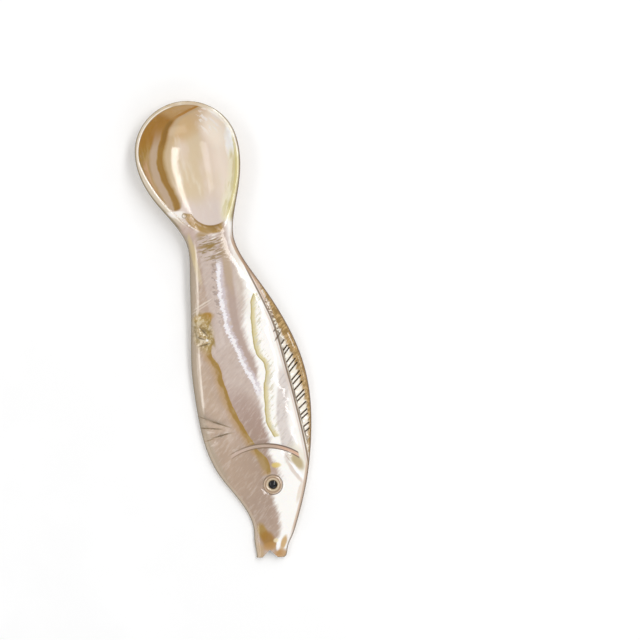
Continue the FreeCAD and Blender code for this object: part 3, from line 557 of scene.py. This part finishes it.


# Pale floor of the hollow, with painted light that lifts the shade at its top right
def bowl_floor(p, layer):
    floor = p.lay("#D6C2A2", "#DECBB8", p.rise(p.cloud, 0.42, 0.62))
    floor = p.lay(floor, "#D9CBC4", p.fall(p.y, 30.0, 36.0), 0.8)
    floor = p.lay(floor, "#F4E6D8", p.rise(p.x, 1.0, 5.0), 0.85)
    floor = p.lay(floor, "#CDAB78", p.spot((-3.6, 52.4), (3.8, 2.2), 20, 1.4, x=p.near_x), 0.85)
    # Painted light that lifts the shade at the top right
    floor = p.lay(floor, "#FBEFDF", p.spot((5.6, 50.2), (2.6, 3.2), 15, 1.0), 0.7)
    pale_streaks = p.rise(p.noise(0.8, 4.0, 25.0, shift=61.0), 0.5, 0.58)
    floor = p.lay(floor, "#F8F1EC", p.both(p.spot((3.6, 52.2), (2.0, 2.6), 20, 0.8), pale_streaks), 0.8)
    foot_of_wall = p.both(p.between(layer, 0.0, 1.0, 0.1, 1.8), p.rise(p.y, 35.0, 40.0))
    floor = p.lay(floor, "#C2A985", foot_of_wall, 0.75)
    return p.lay(floor, "#EFE6D8", p.rise(p.noise(3.0, 6.0, 3.0, shift=9.0), 0.55, 0.75), 0.5)


# Brown and grey layers of the outer shell, cut across on the wall towards the belly
def bowl_wall(p, layer):
    wall = p.lay("#9A7420", "#AC8C48", p.rise(p.noise(1.6, 8.0, 8.0, shift=5.0), 0.42, 0.62))
    wall = p.lay(wall, "#A68A58", p.fall(p.y, 34.0, 45.0), 0.7)
    tan_band = p.both(p.between(layer, -4.0, -3.2, 0.6, 0.8), p.rise(p.noise(2.4, 6.0, 8.0), 0.4, 0.6))
    wall = p.lay(wall, "#B99A6C", tan_band, 0.6)
    wall = p.lay(wall, "#A06C00", p.rise(p.y, 45.0, 51.0), 0.85)
    pink_line = p.both(p.between(layer, -4.7, -4.1, 0.4, 0.4), p.fall(p.y, 43.0, 46.0))
    wall = p.lay(wall, "#C79C7C", pink_line, 0.5)
    grey_layer = p.both(p.between(layer, -2.9, -1.9, 1.0, 0.5), p.fall(p.y, 47.0, 53.0))
    wall = p.lay(wall, "#BBA38A", grey_layer, 0.95)
    wall = p.lay(wall, "#946A14", p.between(layer, -1.2, -0.4, 0.6, 0.5), 0.85)
    tip = p.rise(p.maths("ADD", p.x, p.maths("MULTIPLY", p.y, 1.5)), 74.0, 79.0)
    wall = p.lay(wall, "#C3A070", tip, 0.9)
    wall = p.lay(wall, "#B98F4C", p.both(tip, p.rise(p.noise(1.2, 3.0, -60.0, shift=7.0), 0.45, 0.6)), 0.7)
    wall = p.lay(wall, "#AE7A28", p.both(p.between(layer, -1.6, -0.2, 0.8, 0.3), tip))
    dark_foot = p.both(p.between(layer, -0.9, -0.3, 0.6, 0.4), p.between(p.y, 49.0, 53.0, 2.0, 1.0))
    return p.lay(wall, "#8A6004", dark_foot, 0.8)


# Brown crescent and small marks where the hollow runs out at its heel, among them a pale painted glint
def heel_marks(p, colour):
    from_heel = p.away_from(HEEL_CENTRE)
    slanted_y = p.maths("ADD", p.y, p.maths("MULTIPLY", p.x, 0.3))
    crescent = p.both(p.between(from_heel, 5.4, 7.0, 0.3, 0.5), p.fall(slanted_y, 28.2, 28.8),
                      p.fall(p.comb_x, 1.5, 3.0))
    tone = p.lay("#A8843E", "#C3A681", p.rise(p.noise(1.3, 3.0, 35.0, shift=17.0), 0.48, 0.64))
    colour = p.lay(colour, tone, crescent, 0.95)
    colour = p.lay(colour, "#8D6A28", p.both(p.between(from_heel, 5.3, 5.5, 0.2, 0.4), crescent), 0.75)
    colour = p.lay(colour, "#8D6A28", p.both(p.spot((-0.2, 25.6), (1.2, 0.6), 10), crescent), 0.6)
    colour = p.lay(colour, "#A98A55", p.spot((-2.5, 24.8), (1.6, 0.6), 12, 0.8), 0.75)
    # Pale painted glint beside the heel
    colour = p.lay(colour, "#F3EEE8", p.spot((-8.6, 30.3), (1.5, 0.5), -20, 1.0))
    return p.lay(colour, "#8E7A58", p.between(p.away_from(RING_MARK), 0.5, 0.6, 0.12, 0.12), 0.8)


# Olive and gold edge of the rim, its dark line, and painted shade on the steep outer side of the bowl
def rim_edges(p, colour, level):
    right_side = p.both(p.rise(level, 0.66, 0.88), p.rise(p.x, 1.5, 4.0),
                        p.between(p.y, 28.0, 42.0, 2.0, 3.0))
    colour = p.lay(colour, "#F3ECCF", right_side, 0.95)
    streaked = p.both(right_side, p.rise(p.noise(1.4, 4.0, -14.0, shift=3.0), 0.46, 0.56))
    colour = p.lay(colour, "#D3C68C", streaked, 0.6)
    gold_reach = p.both(p.rise(p.x, 2.0, 5.0), p.between(p.y, 28.0, 46.0, 2.0, 2.0))
    colour = p.lay(colour, "#C4B56A", p.both(p.between(level, 0.97, 1.01, 0.04, 0.04), gold_reach), 0.7)
    rim_line = p.both(p.between(level, 0.985, 1.0, 0.03, 0.02), p.rise(p.y, 25.0, 27.0))
    colour = p.lay(colour, "#8E7145", rim_line, p.maths("MULTIPLY", p.fall(p.x, 0.0, 4.0), 0.6))
    # Painted shade on the steep outer side of the bowl
    outer_wall_shade = p.both(p.fall(p.facing_up, 0.7, 0.96), p.rise(level, 1.02, 1.05), p.rise(p.y, 25.0, 28.0))
    return p.lay(colour, "#7F6D48", outer_wall_shade, 0.9)


# Bowl: the land of the rim, and the hollow with its floor and wall, with painted highlights on the hollow
def bowl_colour(p, colour):
    level = hollow_level(p)
    colour = p.lay(colour, rim_land(p, level), p.rise(p.y, 26.0, 30.0))
    layer = p.right_of(BOWL_LAYER, p.near_x)
    toe = p.maths("MAXIMUM", p.fall(p.away_from(WALL_TOE), 1.6, 2.3), p.rise(p.y, 32.8, 33.6))
    hollow = p.lay(bowl_floor(p, layer), bowl_wall(p, layer), p.both(p.fall(layer, -0.4, 0.9), toe))
    # Painted highlights: a pale glint at the heel and a white one on the wall towards the back
    hollow = p.lay(hollow, "#F3EEE8", p.spot((-8.3, 30.6), (1.5, 0.5), soft=0.6))
    hollow = p.lay(hollow, "#FFFFFF", p.spot((8.0, 44.6), (1.0, 3.6), soft=0.8, x=p.comb_x))
    colour = p.lay(colour, hollow, p.fall(level, 0.985, 1.015))
    return rim_edges(p, heel_marks(p, colour), level)


# Outer edges and cuts: brown borders where the layers are cut across, painted shade on the steep sides, along
# the outlines and in the cuts, and the plainer underside
def edges_and_cuts(p, colour):
    right_border = p.both(p.rise(p.from_right, -1.0, -0.7), p.fall(p.y, 21.0, 25.0))
    colour = p.lay(colour, "#BE9A7A", p.both(right_border, p.rise(p.y, 8.0, 12.0)), 0.85)
    colour = p.lay(colour, "#D3B69C", p.both(right_border, p.between(p.y, -50.0, -37.0, 4.0, 3.0)), 0.8)
    # Painted shade on the steep sides of the body
    steep_side_shade = p.both(p.fall(p.facing_up, 0.5, 0.88), p.fall(p.y, 24.0, 28.0))
    colour = p.lay(colour, p.lay("#857862", "#6B5030", p.rise(p.x, 2.0, 4.0)), steep_side_shade, 0.9)
    belly_land = p.both(p.between(p.from_left, 0.3, 0.7, 0.15, 0.3), p.fall(p.y, -28.0, -22.0))
    colour = p.lay(colour, "#D3C1AA", belly_land, 0.55)
    # Thin outlines of painted shade along both edges, up to the nose of the bowl
    before_nose = p.fall(p.y, 44.0, 50.0)
    colour = p.lay(colour, "#857862", p.both(p.fall(p.from_left, 0.1, 0.32), before_nose), 0.8)
    colour = p.lay(colour, "#6E5232", p.both(p.rise(p.from_right, -0.36, -0.14), before_nose), 0.85)

    underside = p.lay("#CDBBA6", "#E6DCD0", p.rise(p.cloud, 0.35, 0.65))
    veins = p.between(p.noise(8.0, 5.0, 5.0, detail=2, shift=21.0), 0.53, 0.54, 0.05, 0.05)
    underside = p.lay(underside, "#BFA67C", veins, 0.5)
    colour = p.lay(colour, underside, p.fall(p.facing_up, -0.25, 0.0))

    # Painted shade in the cuts, where close walls shut a face in, darkest in the grooves of the fin strip
    cut_shade_mask = add_node(p.tree, "ShaderNodeAttribute", {"attribute_name": CUT_SHADE_ATTRIBUTE}).outputs["Fac"]
    colour = p.lay(colour, "#AA977A", p.rise(cut_shade_mask, 0.2, 0.6), 0.6)
    in_strip = p.both(p.rise(p.from_back, 0.1, 0.4), p.fall(p.y, 0.0, 3.0))
    return p.lay(colour, GROOVE_SHADE_TONE, p.both(p.rise(cut_shade_mask, 0.15, 0.5), in_strip), 0.95)


# Height of the polished face: soft waves, low ripples across the neck and a trace of the fibres
def polished_height(p):
    waves = p.both(p.noise(6.0, 2.2, 8.0, detail=2), p.rise(p.y, 24.0, 29.0, 0.8, 0.25))
    neck = p.both(p.spot((-1.6, 19.0), (2.6, 5.5), soft=0.6), p.rise(p.facing_up, 0.0, 0.3))
    ripples = add_node(p.tree, "ShaderNodeTexWave", {"wave_type": "BANDS", "bands_direction": "Y"},
                       {"Vector": p.place, "Scale": BAND_SPACING / RIPPLE_SPACING, "Distortion": 3.0,
                        "Detail": 2.0}).outputs[0]
    height = p.maths("ADD", waves, p.maths("MULTIPLY", p.both(ripples, neck), 0.12))
    return p.maths("ADD", height, p.maths("MULTIPLY", p.fibre, 0.03))


# Mother-of-pearl, ground and hand polished: stacked layers that show as ochre growth lines, brown bands where
# the hollow cuts through the outer shell, and white sheen over mauve depths, all under a wet-looking gloss
def pearl_shell(sizes):
    material, tree, shader = new_material("polished_mother_of_pearl")
    p = ShellPattern(tree)
    colour = body_ground(p, sizes.pearl)
    colour = white_and_sheen_side(p, colour, sizes.sheen)
    colour = growth_lines(p, colour, sizes.ochre)
    colour = body_marks(p, colour)
    colour = head_cuts(p, colour)
    colour = strip_colour(p, colour)
    colour = bowl_colour(p, colour)
    colour = edges_and_cuts(p, colour)
    bump = add_node(tree, "ShaderNodeBump", None,
                    {"Strength": 0.6, "Distance": 0.6 * MM, "Height": polished_height(p)})
    tree.links.new(colour, shader.inputs["Base Color"])
    tree.links.new(bump.outputs[0], shader.inputs["Normal"])
    tree.links.new(p.rise(p.fibre, 0.3, 0.7, 0.14, 0.06), shader.inputs["Roughness"])
    # Pearl shell bends light by 1.53 to 1.69
    shader.inputs["IOR"].default_value = 1.65
    shader.inputs["Subsurface Weight"].default_value = 0.15
    shader.inputs["Subsurface Radius"].default_value = (1.0, 0.8, 0.6)
    shader.inputs["Subsurface Scale"].default_value = 1.5 * MM
    return material


# Black resin, cast and polished: a drop with one small clear highlight
def black_resin(black):
    material, tree, shader = new_material("polished_black_resin")
    p = Pattern(tree)
    colour = p.lay(black, "#1A181D", p.rise(p.noise(0.6), 0.4, 0.6))
    tree.links.new(colour, shader.inputs["Base Color"])
    shader.inputs["Roughness"].default_value = 0.1
    shader.inputs["IOR"].default_value = 1.4
    return material


# Matt white paper sweep under the spoon: no sheen, and hardly any change of tone
def white_sweep(white):
    material, tree, shader = new_material("matt_white_paper")
    p = Pattern(tree)
    colour = p.lay(white, "#FDFDFD", p.rise(p.noise(30.0), 0.4, 0.6))
    tree.links.new(colour, shader.inputs["Base Color"])
    shader.inputs["Roughness"].default_value = 0.9
    shader.inputs["Specular IOR Level"].default_value = 0.1
    return material


# Share of the space over each face that close walls shut in, from 0 on open faces to 1 in the deepest cuts,
# for the painted shade in the cuts
def measure_cut_shade(mesh, reach):
    tree = BVHTree.FromPolygons([v.co for v in mesh.vertices], [tuple(f.vertices) for f in mesh.polygons])
    attribute = mesh.attributes.new(CUT_SHADE_ATTRIBUTE, "FLOAT", "FACE")
    for face in mesh.polygons:
        across = face.normal.orthogonal().normalized()
        other = face.normal.cross(across)
        start = face.center + face.normal * RAY_GAP
        blocked = 0
        for index in range(RAY_COUNT):
            turn = math.radians(360 / RAY_COUNT * index)
            ray = face.normal * RAY_LEAN + across * math.cos(turn) + other * math.sin(turn)
            if tree.ray_cast(start, ray.normalized(), reach)[0] is not None:
                blocked += 1
        attribute.data[face.index].value = blocked / RAY_COUNT


# Copy of a CAD node as one closed smooth mesh
def merged_copy(node, name):
    mesh = bpy.data.meshes.new(name)
    work = bmesh.new()
    work.from_mesh(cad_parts[node].data)
    bmesh.ops.remove_doubles(work, verts=work.verts, dist=WELD_GAP)
    bmesh.ops.dissolve_degenerate(work, dist=SHORTEST_EDGE, edges=work.edges)
    work.to_mesh(mesh)
    work.free()
    mesh.materials.clear()
    for face in mesh.polygons:
        face.use_smooth = True
        face.material_index = 0
    piece = bpy.data.objects.new(name, mesh)
    bpy.context.scene.collection.objects.link(piece)
    return piece


def add_floor(scene, sizes):
    mesh = bpy.data.meshes.new("floor")
    work = bmesh.new()
    bmesh.ops.create_grid(work, x_segments=1, y_segments=1, size=sizes.floor_size / 2)
    bmesh.ops.translate(work, verts=work.verts, vec=(0.0, 0.0, -FLOOR_DROP))
    work.to_mesh(mesh)
    work.free()
    floor = bpy.data.objects.new("floor", mesh)
    floor.data.materials.append(white_sweep(sizes.paper))
    scene.collection.objects.link(floor)


# Even room light and soft boxes above and beside the spoon
def add_lights(scene, sizes):
    for name, place, turn, width, length, power in SOFT_BOXES:
        light = bpy.data.lights.new(name, "AREA")
        light.shape = "RECTANGLE"
        light.size = width
        light.size_y = length
        light.energy = power
        lamp = bpy.data.objects.new(name, light)
        lamp.location = place
        lamp.rotation_euler = (0.0, 0.0, math.radians(turn))
        scene.collection.objects.link(lamp)
    world = bpy.data.worlds.new("studio")
    world.use_nodes = True
    background = world.node_tree.nodes["Background"]
    background.inputs["Color"].default_value = (1.0, 1.0, 1.0, 1.0)
    background.inputs["Strength"].default_value = sizes.sky
    scene.world = world
    scene.view_settings.view_transform = "Standard"


# Camera straight above the spoon
def add_camera(scene, sizes):
    data = bpy.data.cameras.new("camera")
    data.lens = sizes.lens
    data.clip_start = NEAREST_SEEN
    camera = bpy.data.objects.new("camera", data)
    distance = sizes.view_width / 2 / math.tan(data.angle / 2)
    camera.location = Vector(sizes.view_middle) + Vector((0.0, 0.0, distance))
    camera.rotation_euler = (0.0, 0.0, sizes.view_turn)
    scene.collection.objects.link(camera)
    scene.camera = camera


class SpoonSizes(bpy.types.PropertyGroup):
    """Sizes and colours of the dressed spoon"""

    crease: FloatProperty(name="Crease angle", description="Edges sharper than this stay crisp",
                          default=math.radians(32), subtype="ANGLE")
    # Painted shade in the cuts is measured this far from their walls
    cut_reach: FloatProperty(name="Cut reach", description="How far the walls of a cut darken it",
                             default=0.0007, unit="LENGTH")
    pearl: FloatVectorProperty(name="Pearl", description="Mauve-brown ground of the shell",
                               default=hex_colour("#B8A08E"), min=0.0, max=1.0, subtype="COLOR")
    # White of the shell towards the back, with painted sheen over it
    sheen: FloatVectorProperty(name="Sheen", description="White side of the shell towards the back",
                               default=hex_colour("#FBF8F3"), min=0.0, max=1.0, subtype="COLOR")
    ochre: FloatVectorProperty(name="Ochre", description="Core of the growth line beside the belly",
                               default=hex_colour("#9C7828"), min=0.0, max=1.0, subtype="COLOR")
    bead: FloatVectorProperty(name="Bead", description="Black of the eye bead",
                              default=hex_colour("#0B0A0D"), min=0.0, max=1.0, subtype="COLOR")


class StageSizes(bpy.types.PropertyGroup):
    """Floor, lights and camera"""

    floor_size: FloatProperty(name="Floor", description="Side of the square floor", default=6.0,
                              unit="LENGTH")
    paper: FloatVectorProperty(name="Paper", description="White of the floor",
                               default=hex_colour("#FBFBFB"), min=0.0, max=1.0, subtype="COLOR")
    view_width: FloatProperty(name="View width", description="Width of the floor that the camera sees",
                              default=0.1587, unit="LENGTH")
    view_middle: FloatVectorProperty(name="View middle", description="Point in the middle of the picture",
                                     default=(0.02174, -0.0016, 0.003), subtype="TRANSLATION")
    view_turn: FloatProperty(name="View turn", description="Turn of the camera about its own line of sight",
                             default=math.radians(-10.44), subtype="ANGLE")
    lens: FloatProperty(name="Lens", description="Focal length in millimetres", default=280.0)
    sky: FloatProperty(name="Room light", description="Strength of the even light", default=0.63)


class SPOON_OT_shell(bpy.types.Operator):
    """Dress the carved spoon in polished mother-of-pearl"""

    bl_idname = "spoon.shell"
    bl_label = "Pearl shell spoon"

    def execute(self, context):
        sizes = context.scene.spoon_sizes
        piece = merged_copy("spoon", "pearl_spoon")
        measure_cut_shade(piece.data, sizes.cut_reach)
        piece.data.set_sharp_from_angle(angle=sizes.crease)
        piece.data.materials.append(pearl_shell(sizes))
        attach(piece, "root")
        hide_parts("spoon")
        return {"FINISHED"}


class SPOON_OT_eye(bpy.types.Operator):
    """Polish the black bead of the eye"""

    bl_idname = "spoon.eye"
    bl_label = "Eye bead"

    def execute(self, context):
        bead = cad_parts["eye_pupil"]
        bead.data.materials.clear()
        bead.data.materials.append(black_resin(context.scene.spoon_sizes.bead))
        return {"FINISHED"}


class SPOON_OT_stage(bpy.types.Operator):
    """Set the white floor, the soft lights and the camera above the spoon"""

    bl_idname = "spoon.stage"
    bl_label = "Studio"

    def execute(self, context):
        scene = context.scene
        add_floor(scene, scene.stage_sizes)
        add_lights(scene, scene.stage_sizes)
        add_camera(scene, scene.stage_sizes)
        return {"FINISHED"}


class SPOON_PT_panel(bpy.types.Panel):
    """Steps that dress the spoon, and their settings"""

    bl_label = "Fish caviar spoon"
    bl_idname = "SPOON_PT_panel"
    bl_space_type = "VIEW_3D"
    bl_region_type = "UI"
    bl_category = "Spoon"

    def draw(self, context):
        for operator in OPERATORS:
            self.layout.operator(operator.bl_idname)
        for group in (context.scene.spoon_sizes, context.scene.stage_sizes):
            for name in group.bl_rna.properties.keys():
                if name not in ("rna_type", "name"):
                    self.layout.prop(group, name)


OPERATORS = (SPOON_OT_shell, SPOON_OT_eye, SPOON_OT_stage)
CLASSES = (SpoonSizes, StageSizes, *OPERATORS, SPOON_PT_panel)


def register():
    for item in CLASSES:
        bpy.utils.register_class(item)
    bpy.types.Scene.spoon_sizes = PointerProperty(type=SpoonSizes)
    bpy.types.Scene.stage_sizes = PointerProperty(type=StageSizes)


def unregister():
    del bpy.types.Scene.stage_sizes
    del bpy.types.Scene.spoon_sizes
    for item in reversed(CLASSES):
        bpy.utils.unregister_class(item)


def main():
    register()
    bpy.ops.spoon.shell()
    bpy.ops.spoon.eye()
    bpy.ops.spoon.stage()


if __name__ == "__main__":
    main()
